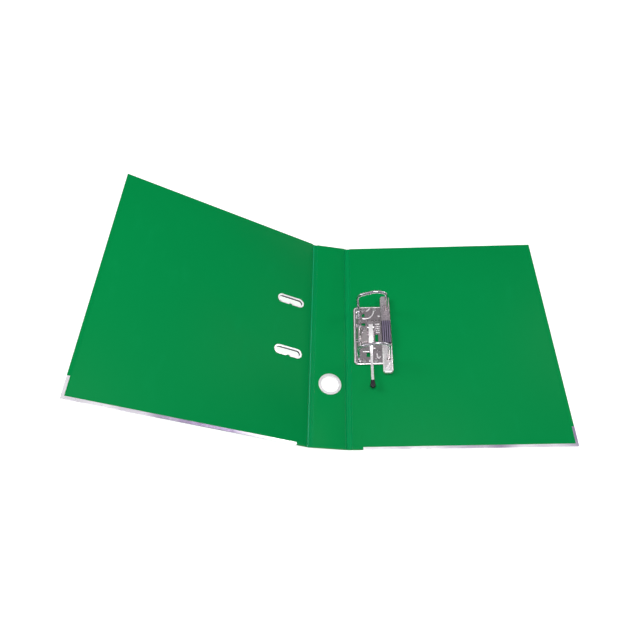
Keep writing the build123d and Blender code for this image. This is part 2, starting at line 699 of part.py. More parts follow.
with BuildPart() as grip:
    with BuildSketch(Plane.XY.offset(BAR_TOP)):
        with Locations((BAR_X, MECH_Y)):
            RectangleRounded(GRIP_W, GRIP_L, GRIP_R)
    extrude(amount=GRIP_T)
    with BuildSketch(Plane.XY.offset(BAR_TOP + GRIP_T)):
        with Locations((BAR_X, MECH_Y)):
            with GridLocations(GRIP_RIB_PITCH, 0, GRIP_RIBS, 1):
                SlotOverall(GRIP_L - 2, GRIP_RIB_W, rotation=90)
    extrude(amount=GRIP_RIB_H)
    with BuildSketch(Plane.XY.offset(BAR_TOP)):
        with Locations((BAR_X, MECH_Y - GRIP_FOOT), (BAR_X, MECH_Y + GRIP_FOOT)):
            Circle(GRIP_FOOT_R)
    extrude(amount=-BAR_T)
    with BuildSketch(Plane.XY.offset(BAR_TOP - BAR_T)):
        with Locations((BAR_X, MECH_Y - GRIP_FOOT), (BAR_X, MECH_Y + GRIP_FOOT)):
            Circle(GRIP_FOOT_R + 1)
    extrude(amount=-GRIP_FOOT_T)
save(grip, "bar_grip")
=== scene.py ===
# %% [markdown]
# # A lever arch file, lying open
#
# Greyboard covers wrapped in green foil, a hinged spine with a finger ring, and a
# nickel-plated lever arch mechanism riveted to the back cover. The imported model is
# loaded first and never moved. It says where every piece is, so each new piece is
# made in that frame, in metres.

# %% Load the frame
import json
from math import radians

import bmesh
import bpy
from mathutils import Matrix, Vector, noise


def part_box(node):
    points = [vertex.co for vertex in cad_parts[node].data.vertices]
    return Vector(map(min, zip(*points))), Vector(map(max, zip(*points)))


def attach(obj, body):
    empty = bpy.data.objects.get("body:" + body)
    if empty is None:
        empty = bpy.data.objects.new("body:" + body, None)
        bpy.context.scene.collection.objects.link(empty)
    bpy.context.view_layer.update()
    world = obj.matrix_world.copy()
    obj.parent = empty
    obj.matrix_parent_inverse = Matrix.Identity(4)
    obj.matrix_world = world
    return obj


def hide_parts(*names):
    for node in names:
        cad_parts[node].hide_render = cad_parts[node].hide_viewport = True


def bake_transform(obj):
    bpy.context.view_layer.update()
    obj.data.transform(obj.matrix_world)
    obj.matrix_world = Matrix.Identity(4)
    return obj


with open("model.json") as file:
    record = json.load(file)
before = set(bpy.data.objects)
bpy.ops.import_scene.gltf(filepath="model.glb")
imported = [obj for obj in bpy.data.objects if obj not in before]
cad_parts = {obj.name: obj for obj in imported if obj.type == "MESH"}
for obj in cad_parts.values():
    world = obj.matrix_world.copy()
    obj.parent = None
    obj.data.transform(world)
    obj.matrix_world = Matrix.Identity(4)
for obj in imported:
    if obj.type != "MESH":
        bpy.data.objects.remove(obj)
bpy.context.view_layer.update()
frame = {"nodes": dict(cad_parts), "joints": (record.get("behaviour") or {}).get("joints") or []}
nodes = frame["nodes"]
joints = {joint["name"]: joint for joint in frame["joints"]}

# %% [markdown]
# ## Three panels, two folds
#
# The spine and the front cover are tilted, which makes it awkward to place anything on
# them in plain x and z. A panel turns about its fold line, and the joints give both fold
# lines, so one small matrix per panel lets the panel be modelled flat: u runs across the
# file from the panel's fold line, v runs along the file and w is height above the board's
# outer face. A hinge's lower limit is where the two panels lie in one plane, so it also
# gives the tilt at rest.

# %% Places on the tilted panels
BACK_FOLD = Vector(joints["back_hinge"]["pos_m"])
FRONT_FOLD = Vector(joints["front_hinge"]["pos_m"])
SPINE_TILT = -radians(joints["back_hinge"]["range_deg"][0])
FRONT_TILT = SPINE_TILT - radians(joints["front_hinge"]["range_deg"][0])


def panel(fold, tilt):
    """The matrix that takes a flat panel to its place about a fold line."""
    return Matrix.Translation(fold) @ Matrix.Rotation(tilt, 4, "Y")


BACK = panel(BACK_FOLD, 0)
SPINE = panel(BACK_FOLD, SPINE_TILT)
FRONT = panel(FRONT_FOLD, FRONT_TILT)
print("spine tilt", round(SPINE_TILT, 3), "front tilt", round(FRONT_TILT, 3))

# %% [markdown]
# ## Writing shader maths as expressions
#
# A material is a graph of nodes, and wiring sums by hand hides what they mean. A small
# class that holds one socket and overloads + - * / lets a mask be written as it would be
# on paper. Colours are mixed with Mix nodes, because a Math node would turn them grey.

# %% A socket that does arithmetic
class Socket:
    """One output of a node, usable in sums."""

    def __init__(self, wiring, socket):
        self.wiring, self.socket = wiring, socket

    def math(self, operation, *others):
        """A Math node on this value and the others."""
        return self.wiring.node("ShaderNodeMath", {"operation": operation},
                                dict(enumerate((self, *others))))

    def __add__(self, other):
        return self.math("ADD", other)

    def __sub__(self, other):
        return self.math("SUBTRACT", other)

    def __mul__(self, other):
        return self.math("MULTIPLY", other)

    def __truediv__(self, other):
        return self.math("DIVIDE", other)

    def __rsub__(self, other):
        return self * -1.0 + other

    __radd__, __rmul__ = __add__, __mul__

    def between(self, low, high):
        """0 below low and 1 above high, in a straight line between them."""
        return ((self - low) / (high - low)).math("MINIMUM", 1.0).math("MAXIMUM", 0.0)


print("sockets can be added, subtracted, multiplied and divided")

# %% [markdown]
# Every node comes from one method, for the materials and for the room alike. It makes a
# node's settings before it feeds the node's sockets, because a setting can change which
# sockets the node has.

# %% One method for every node
class Wiring:
    """A tree of nodes that one method fills."""

    def __init__(self, tree):
        self.tree = tree

    def node(self, kind, settings=None, inputs=None, output=0):
        """A node of any kind: its settings first, then its sockets' values or links."""
        made = self.tree.nodes.new(kind)
        for key, value in (settings or {}).items():
            if key == "stops":
                self.set_stops(made.color_ramp, value)
            else:
                setattr(made, key, value)
        for key, value in (inputs or {}).items():
            if isinstance(value, Socket):
                self.tree.links.new(value.socket, made.inputs[key])
            else:
                made.inputs[key].default_value = value
        return Socket(self, made.outputs[output])

    @staticmethod
    def set_stops(ramp, stops):
        """Gives a colour ramp its stops, each a place from 0 to 1 and a colour."""
        for at, _ in stops[1:-1]:
            ramp.elements.new(at)
        for element, (at, colour) in zip(ramp.elements, stops):
            element.position, element.color = at, colour


print("nodes can be made")

# %% [markdown]
# A material starts from a Principled shader with its unchanging values set. It reads all
# patterns in the object's own coordinates, so that a pattern stays with its piece when a
# hinge turns.

# %% A material
class Shader(Wiring):
    """A material, from its unchanging values to its patterns."""

    def __init__(self, name, **fixed):
        self.material = bpy.data.materials.new(name)
        self.material.use_nodes = True
        super().__init__(self.material.node_tree)
        self.surface = self.tree.nodes["Principled BSDF"]
        for socket, value in fixed.items():
            self.surface.inputs[socket.replace("_", " ")].default_value = value
        self.place = self.node("ShaderNodeTexCoord", output="Object")

    def noise(self, scale, detail=2.0, stretch=(1, 1, 1), roughness=0.5):
        """Soft noise over the object, with so many lumps to the metre along each axis."""
        spread = self.node("ShaderNodeMapping", None, {"Vector": self.place, "Scale": stretch})
        return self.node("ShaderNodeTexNoise", None,
                         {"Vector": spread, "Scale": scale, "Detail": detail,
                          "Roughness": roughness}, "Fac")

    def mix(self, mask, below, above):
        """One colour where the mask is 0 and the other where it is 1."""
        factor, colour_a, colour_b, colour_out = 0, 6, 7, 2
        return self.node("ShaderNodeMix", {"data_type": "RGBA"},
                         {factor: mask, colour_a: below, colour_b: above}, colour_out)

    def bump(self, height, strength, distance):
        """Sends a height to the surface's normal."""
        self.link("Normal", self.node("ShaderNodeBump", None,
                                      {"Height": height, "Strength": strength,
                                       "Distance": distance}))

    def link(self, socket, value):
        """Sends a value to one of the surface's inputs."""
        self.tree.links.new(value.socket, self.surface.inputs[socket])


print("materials can be made")

# %% [markdown]
# Shaders add and multiply light, so they need linear colours, while people and paint charts
# name colours from 0 to 255 on the screen's curve. One function takes the one to the other.

# %% Colours
def rgb(red, green, blue):
    """A colour from the numbers a paint chart gives, 0 to 255."""
    return tuple(((c / 255 + 0.055) / 1.055) ** 2.4 if c > 10 else c / 255 / 12.92
                 for c in (red, green, blue)) + (1.0,)


GREEN = rgb(0, 137, 69)
SCUFFED_GREEN = rgb(10, 152, 86)
print("foil green", [round(c, 3) for c in GREEN])

# %% [markdown]
# ## The green foil
#
# The covering is a coloured plastic foil, rolled with a very fine grain. From a step away
# it reads as one even green with a soft sheen. Three things keep it from looking painted
# on: a fine grain in the normal, slow waves where the foil follows the board and its glue,
# and a little scuffing that changes the gloss more than the colour.

# %% Foil
def foil_finish(name, base, worn, rough=0.46, shine=0.05):
    """Rolled plastic foil over board, with its gloss and colour a little uneven."""
    foil = Shader(name, IOR=1.46, Specular_IOR_Level=shine)
    grain = foil.noise(2600, 2.0)
    pebble = foil.node("ShaderNodeTexVoronoi", {"feature": "SMOOTH_F1"},
                       {"Vector": foil.place, "Scale": 1500.0, "Smoothness": 0.8}, "Distance")
    waves = foil.noise(14, 2.0)
    cloud = foil.noise(5, 3.0)
    scuff = foil.noise(55, 4.0, (1, 0.35, 1), 0.62).between(0.57, 0.80)
    deeper = tuple(c * 0.965 for c in base[:3]) + (1,)
    shade = foil.mix(cloud.between(0.32, 0.68), base, deeper)
    foil.link("Base Color", foil.mix(scuff * 0.16, shade, worn))
    foil.link("Roughness", rough + (cloud - 0.5) * 0.08 + scuff * 0.10 + (grain - 0.5) * 0.06)
    foil.bump(grain * 0.25 + pebble * 0.35 + waves * 3.0, 0.35, 0.0001)
    return foil.material


foil_green = foil_finish("foil_green", GREEN, SCUFFED_GREEN)
# The folds' foil is a touch lighter and bluer than the covers': painted light that lifts the
# shade in the channel.
foil_pressed = foil_finish("foil_pressed", rgb(0, 140, 76), SCUFFED_GREEN,
                           rough=0.30, shine=0.06)
# The crest foil is a much lighter green: a painted highlight along the fold's ridge.
crest_highlight_foil = foil_finish("crest_highlight_foil", rgb(36, 182, 136), rgb(110, 214, 180),
                         rough=0.22, shine=0.50)
print("three foils made: covers, pressed folds and the fold's polished crest")

# %% [markdown]
# ## Bright plated metal
#
# The mechanism, edge protectors and eyelets are steel with a thin bright nickel coat. It
# mirrors the room, so most of its look is in how broken the reflection is. Long fine
# scratches run one way, faint cloudy patches dull the gloss, and the sheet is never
# quite flat, which bends every highlight. Satin parts scatter some of their light, so
# they are less than fully metallic here. A long strip drifts between two tones along its
# length: a painted reflection of a dark and a bright side of the room.

# %% Plated steel
def plated(name, tone, rough, scratch=(1, 9, 1), dull=0.10, uneven=0.5, metallic=1.0,
           painted_reflection_tone=None):
    """Bright sheet metal. A second tone, when given, is what its tone drifts to along a long
    piece: a painted reflection of the room.
    """
    metal = Shader(name, Metallic=metallic)
    lines = metal.noise(900, 3.0, scratch, 0.6)
    patches = metal.noise(160, 3.0)
    ripple = metal.noise(95, 1.0)
    stain = metal.noise(420, 4.0).between(0.58, 0.78)
    dark = tuple(c * 0.80 for c in tone[:3]) + (1,)
    plain = metal.mix(metal.noise(9).between(0.44, 0.60), tone, painted_reflection_tone) if painted_reflection_tone else tone
    metal.link("Base Color", metal.mix(stain * 0.35, plain, dark))
    metal.link("Roughness", rough + patches.between(0.4, 0.75) * dull + (lines - 0.5) * 0.08)
    metal.bump(lines * 0.10 + ripple * 4.0, uneven, 0.00012)
    return metal.material


nickel = plated("bright_nickel", rgb(224, 216, 217), 0.12)
# The bar's tone drifts from mid grey to near white along its length: a painted reflection.
satin_nickel = plated("satin_nickel", rgb(166, 158, 164), 0.24, uneven=0.3, metallic=0.6,
                      painted_reflection_tone=rgb(250, 246, 248))
lever_nickel = plated("lever_nickel", rgb(244, 240, 242), 0.24, uneven=0.3, metallic=0.4)
wire_nickel = plated("wire_nickel", rgb(206, 200, 210), 0.24, scratch=(4, 4, 4), dull=0.08,
                     uneven=0.12)
pressed_nickel = plated("pressed_nickel", rgb(184, 176, 180), 0.20)
# The protector's tone drifts from near white to a dark violet grey along its length: a painted
# reflection.
protector_metal = plated("protector_nickel", rgb(250, 246, 252), 0.28, scratch=(9, 1, 1),
                         dull=0.12, uneven=0.6, metallic=0.4, painted_reflection_tone=rgb(150, 134, 166))
eyelet_metal = plated("eyelet_nickel", rgb(240, 238, 240), 0.34, scratch=(4, 4, 1), dull=0.08,
                      uneven=0.4, metallic=0.45)
zinc = plated("zinc_steel", rgb(196, 194, 196), 0.26, scratch=(5, 5, 5), dull=0.16)
spring_steel = plated("spring_steel", rgb(172, 168, 170), 0.22, scratch=(1, 12, 1), dull=0.12,
                      uneven=0.4)
# Dark grey for the walls of the eyelets' slots: painted shade.
slot_wall_shade = plated("eyelet_wall_painted_shade", rgb(104, 100, 104), 0.42, scratch=(4, 4, 1), uneven=0.4)
print("ten plated and bare metals made")

# %% [markdown]
# ## Greyboard
#
# Greyboard is pressed waste paper, grey-brown with short fibres that all lie roughly one
# way. It hides inside the foil, but it still gets its finish. Flecks are a noise with only
# its peaks kept.

# %% Board
board = Shader("greyboard", Roughness=0.92)
fibres = board.noise(900, 4.0, (1, 3, 1), 0.7)
flecks = board.noise(350, 2.0).between(0.60, 0.72)
board.link("Base Color", board.mix(flecks * 0.5, rgb(150, 138, 118), rgb(108, 96, 80)))
board.bump(fibres, 0.5, 0.0002)
print("greyboard made")

# %% [markdown]
# ## Moulded black plastic
#
# The grip and the lever's tip come from a mould with a fine spark-eroded texture, and hands
# polish their high places. The grip's ribs carry a painted highlight: its colour turns
# lighter with height above the flat between them, which the frame gives.

# %% Black plastic
GRIP_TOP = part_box("bar_grip")[1][2]
RIB_SHOWING = 0.0008
GRIP_FLAT = GRIP_TOP - RIB_SHOWING


def moulded(name, plain, handled_tone, rib_top_highlight_tone=None):
    """Black plastic, lighter where hands have polished it, with a painted highlight on top of
    the grip's ribs.
    """
    black = Shader(name, IOR=1.5)
    sparks = black.noise(2400, 3.0)
    handled = black.noise(120, 2.0).between(0.45, 0.7)
    tone = black.mix(handled * 0.4, plain, handled_tone)
    if rib_top_highlight_tone:
        height = black.node("ShaderNodeSeparateXYZ", None, {"Vector": black.place}, "Z")
        tone = black.mix(height.between(GRIP_FLAT, GRIP_TOP), tone, rib_top_highlight_tone)
    black.link("Base Color", tone)
    black.link("Roughness", 0.46 - handled * 0.16 + (sparks - 0.5) * 0.1)
    black.bump(sparks, 0.35, 0.00008)
    return black.material


# The third tone is a painted highlight on the tops of the grip's ribs.
grip_plastic = moulded("grip_plastic", rgb(32, 26, 42), rgb(56, 48, 70), rgb(122, 112, 136))
tip_plastic = moulded("tip_plastic", rgb(24, 16, 26), rgb(60, 50, 70))
print("ribs fade from", round(GRIP_FLAT, 4), "to", round(GRIP_TOP, 4))

# %% [markdown]
# ## Card and film
#
# The label is plain card with faint ruled lines, behind a clear film. Rulings are a band
# texture with all but its crests cut away. The film is mostly see-through, so its Alpha is
# low, and a little haze in its gloss is what shows that it is there.

# %% Label card and its clear pocket
card = Shader("label_card", Roughness=0.85)
pulp = card.noise(700, 4.0)
bands = card.node("ShaderNodeTexWave", {"wave_type": "BANDS", "bands_direction": "Y"},
                  {"Vector": card.place, "Scale": 15.0, "Distortion": 0.0}, "Fac")
rule = bands.between(0.97, 0.99)
paper = card.mix(pulp.between(0.3, 0.7), rgb(236, 235, 230), rgb(228, 227, 221))
card.link("Base Color", card.mix(rule * 0.45, paper, rgb(120, 124, 130)))
card.bump(pulp, 0.2, 0.00005)

film = Shader("clear_film", IOR=1.45, Alpha=0.22)
haze = film.noise(60, 3.0)
film.link("Base Color", film.mix(haze.between(0.35, 0.65), rgb(236, 242, 240),
                                 rgb(214, 224, 222)))
film.link("Roughness", 0.10 + haze.between(0.45, 0.75) * 0.12)
film.material.surface_render_method = "BLENDED"
print("card and film made")

# %% [markdown]
# ## Pressed and bent metal: softening the machined edges
#
# A stamped sheet has rolled edges that catch a line of light. The solids of the packed
# model have the right shape but knife-sharp edges, and their triangles are loose. So each
# one is copied, its doubles are merged, its flat faces are joined, and a narrow bevel
# goes round every edge that is really an edge. Round faces are shaded smooth.

# %% From a bmesh to a finished piece
SHARP = radians(32)


def finish(piece, body, material, slot, *stands_for):
    """Gives a piece its finish, its body and the nodes it stands for."""
    piece.data.materials.append(material)
    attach(piece, body)
    if stands_for:
        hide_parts(*stands_for)
    return piece


def new_piece(name, shape):
    """An object at the origin from a finished bmesh, shaded smooth between sharp edges."""
    mesh = bpy.data.meshes.new(name)
    shape.to_mesh(mesh)
    shape.free()
    mesh.shade_smooth()
    mesh.set_sharp_from_angle(angle=SHARP)
    piece = bpy.data.objects.new(name, mesh)
    bpy.context.scene.collection.objects.link(piece)
    return piece


print("edges over", round(SHARP, 2), "rad stay sharp")

# %% [markdown]
# A node's copy is cleaned before it is bevelled. Doubled corners would stop the bevel at
# every seam, and the triangles across a flat face would each get a bevel of their own.

# %% A softened copy of a node
DOUBLES = 1e-6
FLAT = radians(1.0)
ROLLED = radians(35)


def soften(piece, width):
    """A narrow bevel round the sharp edges."""
    bevel = piece.modifiers.new("rolled_edges", "BEVEL")
    bevel.width, bevel.segments = width, 2
    bevel.limit_method, bevel.angle_limit = "ANGLE", ROLLED
    bevel.harden_normals, bevel.use_clamp_overlap = True, True
    return piece


def softened(node, name, body, material, slot, width=0.0002):
    """A copy of a CAD node with its doubles merged and its edges rolled."""
    shape = bmesh.new()
    shape.from_mesh(nodes[node].data)
    bmesh.ops.remove_doubles(shape, verts=shape.verts, dist=DOUBLES)
    bmesh.ops.dissolve_limit(shape, angle_limit=FLAT, verts=shape.verts, edges=shape.edges)
    piece = finish(new_piece(name, shape), body, material, slot, node)
    return soften(piece, width) if width else piece


print("a copy's doubles merge under", DOUBLES, "m")

# %% [markdown]
# The mechanism's parts differ in thickness, so each has a bevel of its own width. The
# eyelets get a second, darker metal on the walls of their slots: painted shade on the
# inside of each slot.

# %% Softened metal and plastic
SLOT_WALL = 0.3          # a wall's normal is nearly square to the cover's
WALL_AREA = 2e-7
COVER_NORMAL = FRONT.to_3x3() @ Vector((0, 0, 1))

for node, body, metal, width in (
    ("base_plate", "back_cover", pressed_nickel, 0.00022),
    ("arch_rocker", "arches", nickel, 0.00025),
    ("lever", "lever", lever_nickel, 0.0002),
    ("compressor_bar", "compressor", satin_nickel, 0.00018),
    ("post_upper", "back_cover", nickel, 0.0003),
    ("post_lower", "back_cover", nickel, 0.0003),
):
    softened(node, node + "_pressed", body, metal, "nickel", width)
for node, body in (("back_edge_protector", "back_cover"),
                   ("front_edge_protector", "front_cover")):
    softened(node, node + "_rolled", body, protector_metal, "nickel", 0.0004)
for node in ("slot_eyelet_upper", "slot_eyelet_lower"):
    eyelet = softened(node, node + "_rolled", "front_cover", eyelet_metal, "nickel", 0.00024)
    # The slot's walls take the darker metal: painted shade.
    eyelet.data.materials.append(slot_wall_shade)
    for face in eyelet.data.polygons:
        if abs(face.normal.dot(COVER_NORMAL)) < SLOT_WALL and face.area > WALL_AREA:
            face.material_index = 1
for node in ("finger_ring_outer", "finger_ring_inner"):
    softened(node, node + "_turned", "spine", eyelet_metal, "nickel", 0.0002)
for node, body in (("roller", "roller"), ("lever_pivot_pin", "back_cover"),
                   ("roller_axle", "lever"), ("base_rivets", "back_cover")):
    softened(node, node + "_turned", body, zinc, "steel_zinc", 0.00018)
softened("leaf_spring", "leaf_spring_cut", "back_cover", spring_steel, "steel_zinc", 0.0001)
softened("bar_grip", "bar_grip_moulded", "compressor", grip_plastic, "black_plastic", 0.0003)
softened("lever_tip", "lever_tip_moulded", "lever", tip_plastic, "black_plastic", 0.0003)
softened("arch_wire", "arch_wire_bent", "arches", wire_nickel, "nickel", width=0)
print("softened copies made")

# %% [markdown]
# ## Boards, film and card
#
# The boards and the pocket are right as they are, so only their finish changes. The card
# fills its pocket exactly, and two faces at one place flicker between each other in a
# render, so the card's copy is drawn a little smaller than its pocket.

# %% Finishes for the plain nodes
for names, material in (
    (("back_board", "spine_board", "front_board"), board.material),
    (("label_pocket",), film.material),
):
    for name in names:
        nodes[name].data.materials.clear()
        nodes[name].data.materials.append(material)

LOOSE = (0.985, 0.996, 0.5, 1)      # across, along and through the card
card_piece = softened("label_card", "label_card_loose", "spine", card.material, "label_paper",
                      width=0)
low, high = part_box("label_card")
middle = Matrix.Translation(SPINE.inverted() @ ((Vector(low) + Vector(high)) / 2))
card_piece.data.transform(SPINE @ middle @ Matrix.Diagonal(LOOSE)
                          @ middle.inverted() @ SPINE.inverted())
print("boards, film and card finished")

# %% [markdown]
# ## The wrapped panels
#
# On a real file one sheet of foil goes round the outside of all three boards, is turned in
# over their edges and is covered inside by a liner, so a panel has soft rounded rims and
# a faint step a finger's width inside them. Each panel is made flat from a block that is
# bevelled all round, its holes are cut, and the whole is turned about its fold.

# %% Sizes of the panels
BOARD_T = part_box("back_board")[1][2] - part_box("back_board")[0][2]
SKIN_T = BACK_FOLD.z
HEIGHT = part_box("back_outer_skin")[1][1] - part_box("back_outer_skin")[0][1]
COVER_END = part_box("back_outer_skin")[1][0] - BACK_FOLD.x
BOARD_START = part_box("back_board")[0][0] - BACK_FOLD.x
SPINE_PITCH = (FRONT_FOLD - BACK_FOLD).length
OUTER, INNER = -SKIN_T, BOARD_T + SKIN_T
FOOT, TOP = -HEIGHT / 2, HEIGHT / 2
print("board starts", round(BOARD_START, 4), "cover ends", round(COVER_END, 4))

# %% [markdown]
# A bevel on a bmesh is there for good, and so are a cutter's holes once the Boolean has
# been read off the evaluated piece. Nothing is left on the piece that a later step could
# disturb, and the cutters can be thrown away.

# %% Blocks, rounding and cutting
def block(u0, u1, v0, v1, w0, w1):
    """A bmesh block between two corners. Either end across the file may come first."""
    shape = bmesh.new()
    bmesh.ops.create_cube(shape, size=1.0)
    bmesh.ops.scale(shape, verts=shape.verts, vec=(abs(u1 - u0), v1 - v0, w1 - w0))
    bmesh.ops.translate(shape, verts=shape.verts,
                        vec=((u0 + u1) / 2, (v0 + v1) / 2, (w0 + w1) / 2))
    return shape


def rounded(shape, width, segments=3):
    """All edges of a bmesh, rounded."""
    bmesh.ops.bevel(shape, geom=shape.edges[:], offset=width, offset_type="OFFSET",
                    segments=segments, profile=0.5, affect="EDGES", clamp_overlap=True,
                    material=-1)
    return shape


def cut(piece, cutters):
    """Takes cutters out of a piece for good."""
    for cutter in cutters:
        hole = piece.modifiers.new("hole", "BOOLEAN")
        hole.operation, hole.solver, hole.object = "DIFFERENCE", "EXACT", cutter
    bpy.context.view_layer.update()
    graph = bpy.context.evaluated_depsgraph_get()
    mesh = bpy.data.meshes.new_from_object(piece.evaluated_get(graph))
    piece.modifiers.clear()
    piece.data = mesh
    for cutter in cutters:
        bpy.data.objects.remove(cutter)
    mesh.shade_smooth()
    mesh.set_sharp_from_angle(angle=SHARP)
    return piece


print("a panel is", round((INNER - OUTER) * 1000, 2), "mm thick")

# %% [markdown]
# The covers are pierced where metal goes through them. Each cutter is a plain block or
# cylinder that reaches past both faces, in the panel's flat coordinates. A round-ended slot
# is a block with its four upright edges bevelled by almost half its width.

# %% Cutters for the slots and the ring
REACH = 0.004
SLOT_HALF_LENGTH, SLOT_HALF_WIDTH = 0.0175, 0.0047
SLOT_CORNER = 0.98 * SLOT_HALF_WIDTH
RING_SEAT_R = 0.0125


def cutter(shape):
    """A hidden object that only lives until its hole is cut."""
    bmesh.ops.recalc_face_normals(shape, faces=shape.faces)
    mesh = bpy.data.meshes.new("cutter")
    shape.to_mesh(mesh)
    shape.free()
    made = bpy.data.objects.new("cutter", mesh)
    bpy.context.scene.collection.objects.link(made)
    return made


def middle_of(node, panel_matrix):
    """The middle of a node's box, in a panel's flat coordinates."""
    low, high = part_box(node)
    return panel_matrix.inverted() @ ((Vector(low) + Vector(high)) / 2)


def slot_cutter(node):
    """A round-ended block over an eyelet, as wide as the eyelet's wall."""
    middle = middle_of(node, FRONT)
    shape = block(middle.x - SLOT_HALF_LENGTH, middle.x + SLOT_HALF_LENGTH,
                  middle.y - SLOT_HALF_WIDTH, middle.y + SLOT_HALF_WIDTH,
                  OUTER - REACH, INNER + REACH)
    upright = [e for e in shape.edges if abs(e.verts[0].co.z - e.verts[1].co.z) > REACH]
    bmesh.ops.bevel(shape, geom=upright, offset=SLOT_CORNER, segments=14, profile=0.5,
                    affect="EDGES", material=-1)
    return cutter(shape)


def round_cutter(u, v, radius, w0, w1):
    """An upright cylinder from height w0 to w1."""
    shape = bmesh.new()
    bmesh.ops.create_cone(shape, cap_ends=True, segments=64, radius1=radius, radius2=radius,
                          depth=w1 - w0, matrix=Matrix.Translation((u, v, (w0 + w1) / 2)))
    return cutter(shape)


def slot_cutters():
    """Both slots of the front cover."""
    return [slot_cutter("slot_eyelet_upper"), slot_cutter("slot_eyelet_lower")]


def ring_cutter():
    """The hole that the finger ring sits in."""
    middle = middle_of("finger_ring_outer", SPINE)
    return round_cutter(middle.x, middle.y, RING_SEAT_R, OUTER - REACH, INNER + REACH)


print("the ring sits at", [round(c, 3) for c in middle_of("finger_ring_outer", SPINE)[:2]])

# %% [markdown]
# The edge protector is wrapped round the foot and one corner of each cover, and the foil
# ends where the metal begins. The rivets' heads lie in shallow wells in the underside. Both
# are cut in the same way.

# %% Cutters for the edge protectors and rivets
STRIP_FLANGE, STRIP_RETURN, STRIP_START = 0.0032, 0.025, 0.013
FAR_OUT = 1
WELL_R, WELL_PAST = 0.00295, 0.001


def strip_cutters(side):
    """Two blocks where the metal edge protector takes the foil's place."""
    outside = side * (COVER_END + FAR_OUT)
    cutters = []
    for inside, rise in ((side * (BOARD_START + STRIP_START), STRIP_FLANGE),
                         (side * (COVER_END - STRIP_FLANGE), STRIP_RETURN)):
        cutters.append(cutter(block(inside, outside, FOOT - FAR_OUT, FOOT + rise,
                                    OUTER - REACH, INNER + REACH)))
    return cutters


def rivet_cutters():
    """Shallow wells in the underside, where the rivets' heads are let in.

    The four rivets are one node, so each is found by its quarter of the node's box."""
    points = [vert.co for vert in nodes["base_rivets"].data.vertices]
    low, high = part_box("base_rivets")
    middle = (Vector(low) + Vector(high)) / 2
    wells = []
    for right in (False, True):
        for upper in (False, True):
            own = [p for p in points if (p.x > middle.x) == right and (p.y > middle.y) == upper]
            x = (min(p.x for p in own) + max(p.x for p in own)) / 2
            y = (min(p.y for p in own) + max(p.y for p in own)) / 2
            wells.append(round_cutter(x - BACK_FOLD.x, y, WELL_R, OUTER - WELL_PAST, 0.0))
    return wells


print("foil ends", STRIP_FLANGE, "m inside the foot")

# %% [markdown]
# The outer foil and the liner are two sheets, so they are two pieces. The liner's top is
# the panel's inner face, and the turned-in rim round it lies a hair lower, which leaves
# the fine step that a real cover has inside its edges.

# %% Wraps and liners
STEP = 0.00008
RIM_R = 0.0005
LINER_T = 0.0004
FOOT_MARGIN, TOP_MARGIN = 0.0045, 0.0035
FREE_MARGIN, HINGE_MARGIN = 0.0045, 0.0009


def lay(name, shape, place, body, cutters, node):
    """Cuts the holes of a flat sheet and turns it to its panel."""
    piece = cut(new_piece(name, shape), cutters)
    piece.data.transform(place)
    finish(piece, body, foil_green, "green_foil", node)


def wrap(name, place, body, u0, u1, cutters, node):
    """The outer foil, turned in round a panel."""
    shape = rounded(block(u0, u1, FOOT, TOP, OUTER, INNER - STEP), RIM_R)
    lay(name, shape, place, body, cutters, node)


def liner(name, place, body, u0, u1, cutters, node):
    """The sheet that covers a panel's inner face."""
    shape = rounded(block(u0, u1, FOOT + FOOT_MARGIN, TOP - TOP_MARGIN, INNER - LINER_T, INNER),
                    STEP, segments=2)
    lay(name, shape, place, body, cutters, node)


WRAP_START = BOARD_START - SKIN_T
LINER_START = BOARD_START + HINGE_MARGIN
LINER_END = COVER_END - FREE_MARGIN

wrap("back_cover_foil", BACK, "back_cover", WRAP_START, COVER_END,
     strip_cutters(1) + rivet_cutters(), "back_outer_skin")
wrap("spine_foil", SPINE, "spine", WRAP_START - SPINE_PITCH, -WRAP_START,
     [ring_cutter()], "spine_outer_skin")
wrap("front_cover_foil", FRONT, "front_cover", -WRAP_START, -COVER_END,
     strip_cutters(-1) + slot_cutters(), "front_outer_skin")
liner("back_cover_liner", BACK, "back_cover", LINER_START, LINER_END, [], "back_inner_liner")
liner("spine_liner", SPINE, "spine", LINER_START - SPINE_PITCH, -LINER_START,
      [ring_cutter()], "spine_inner_liner")
liner("front_cover_liner", FRONT, "front_cover", -LINER_START, -LINER_END,
      slot_cutters(), "front_inner_liner")
print("panels wrapped")

# %% [markdown]
# ## The folds
#
# Between the boards there is only foil: outer sheet and liner welded together, pressed
# into a shallow channel when the file was made. It climbs the boards' edges in a soft
# curve and bends when the file is shut. The channel is drawn as one closed outline
# across the fold and pushed out along the file's length.
# It is then sliced across, closely at the foot, so that its loose end can be crumpled.

# %% A sheet across a fold
FOLD_END = 0.0002               # how far it stops short of the file's foot and top
BEND_REACH = 0.0036             # on each side of the fold line, where the sheet bends
FACES_UP = 0.5
SLICES, FOOT_SLICES, FOOT_PITCH = 40, 8, 0.0015
CRUMPLE_REACH = 0.011
CRUMPLE_U, CRUMPLE_V, CRUMPLE_SEED = 420, 520, 3.1
RIDGE, RIDGE_HALF_WIDTH = 0.0019, 0.0004


def slice_across(shape, y):
    """Adds a row of edges across a whole bmesh."""
    bmesh.ops.bisect_plane(shape, geom=shape.verts[:] + shape.edges[:] + shape.faces[:],
                           plane_co=(0, y, 0), plane_no=(0, 1, 0))


